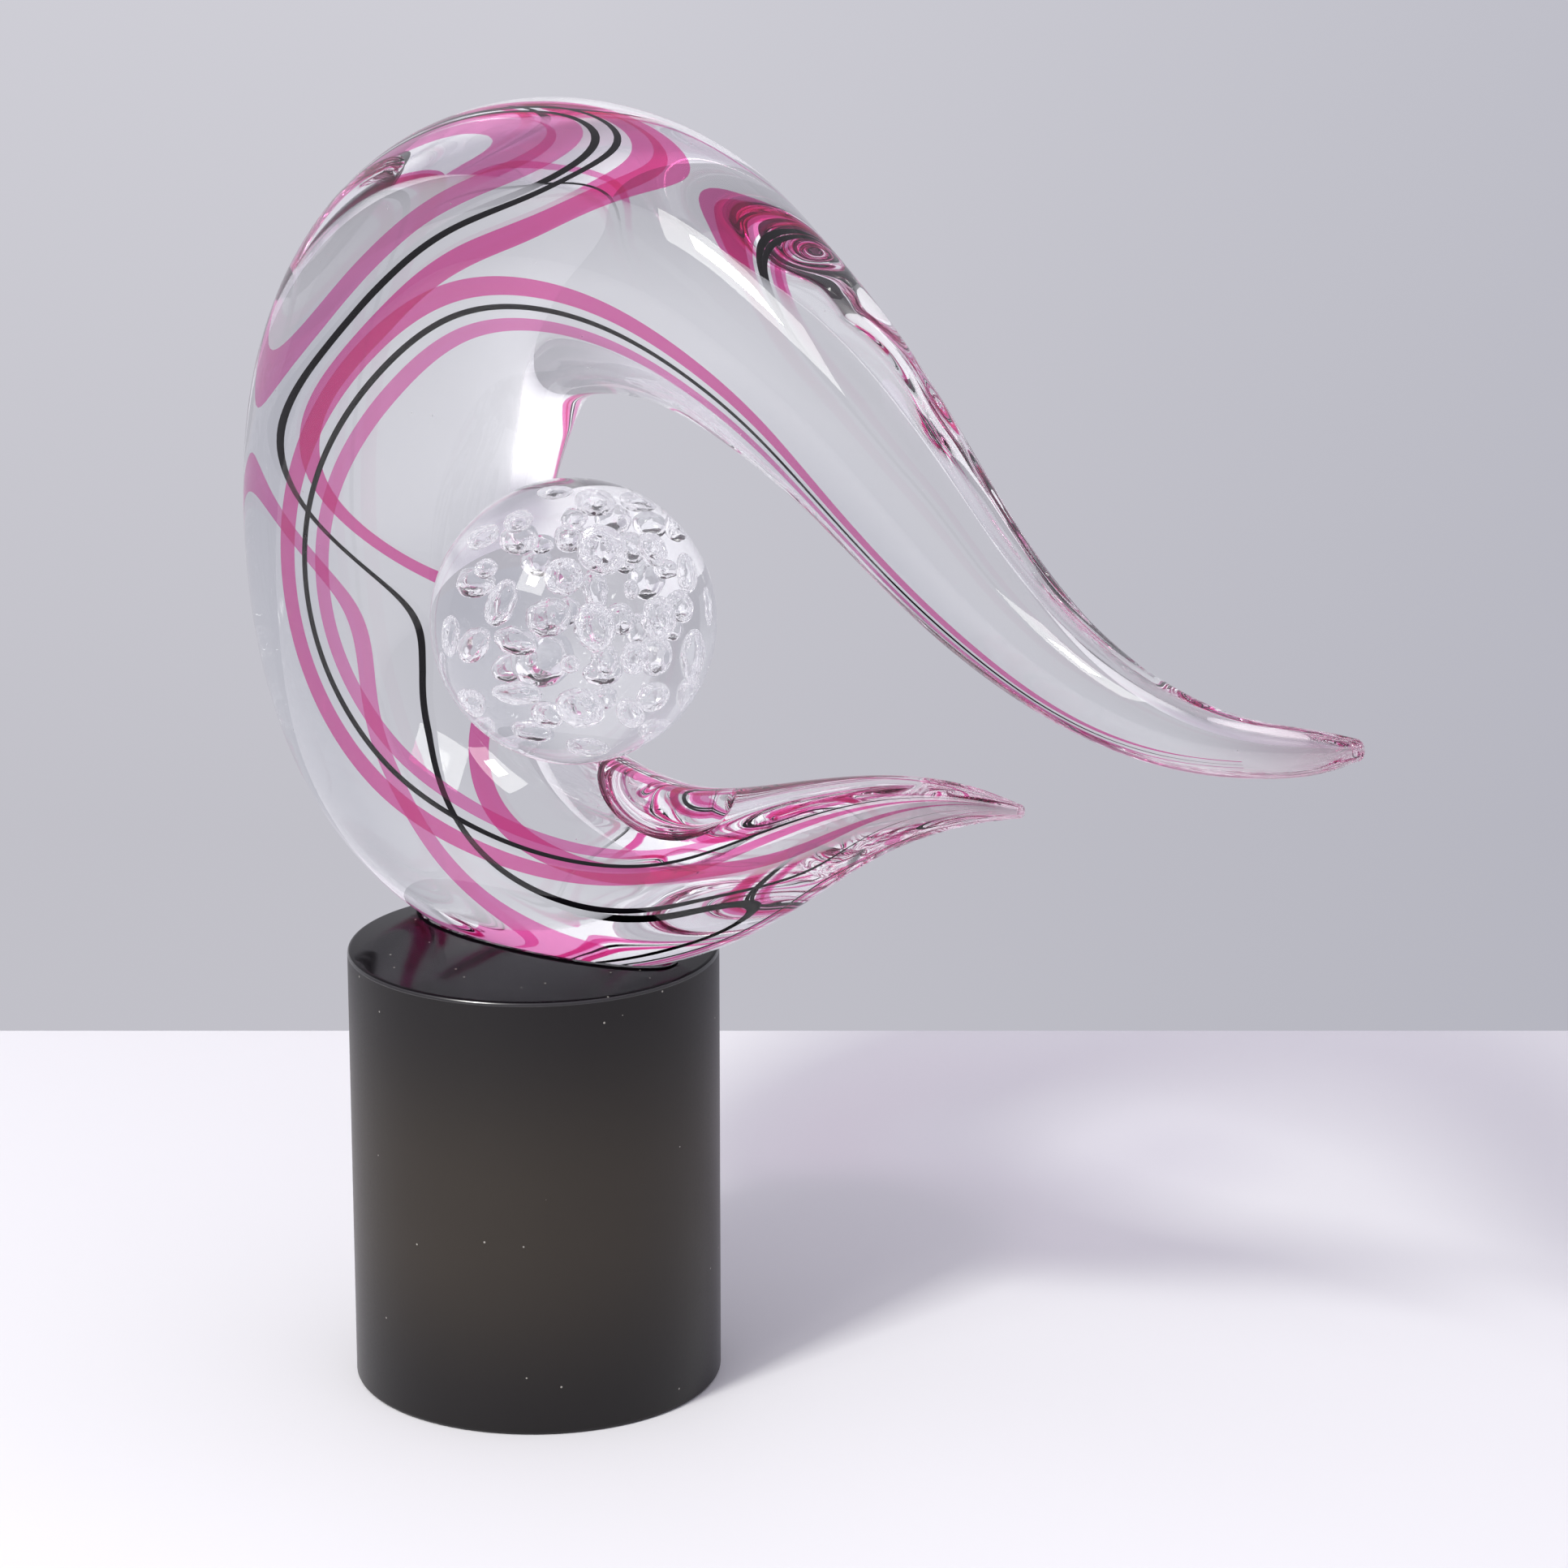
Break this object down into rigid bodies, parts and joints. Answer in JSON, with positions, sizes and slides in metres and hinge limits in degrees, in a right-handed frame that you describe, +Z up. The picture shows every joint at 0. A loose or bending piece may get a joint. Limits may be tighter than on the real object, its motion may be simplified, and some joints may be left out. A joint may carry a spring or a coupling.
{
  "type": "glass sculpture",
  "caption": "Open swirl of clear glass with two tapering horns and striped canes, a clear bubble ball in its crook, on a dark glass cylinder.",
  "frame": {"origin": "centre of the base cylinder's underside", "axes": "+Z up, +X towards the side that the two horns point to, in the swirl's own upright plane, -Y towards the front, where the ball stands out of the crook; the picture looks along +Y turned 42 degrees about +Z"},
  "size_m": [0.3699, 0.1, 0.349],
  "materials": {
    "dark_glass": "satin sides, polished top",
    "clear_glass": "fire polished",
    "ball_glass": "polished, full of air bubbles",
    "pink_glass": "translucent cane",
    "black_glass": "opaque cane",
    "clear_bond": "clear cured film"
  },
  "bodies": {
    "root": {"base_cylinder": "dark_glass", "swirl_body": "clear_glass", "bubble_ball": "ball_glass", "foot_bond_film": "clear_bond", "ball_bond_film": "clear_bond", "front_wide_pink_cane": "pink_glass", "front_black_thread_cane": "black_glass", "front_narrow_pink_cane": "pink_glass", "back_wide_pink_cane": "pink_glass", "back_black_thread_cane": "black_glass", "back_narrow_pink_cane": "pink_glass"}
  },
  "joints": []
}
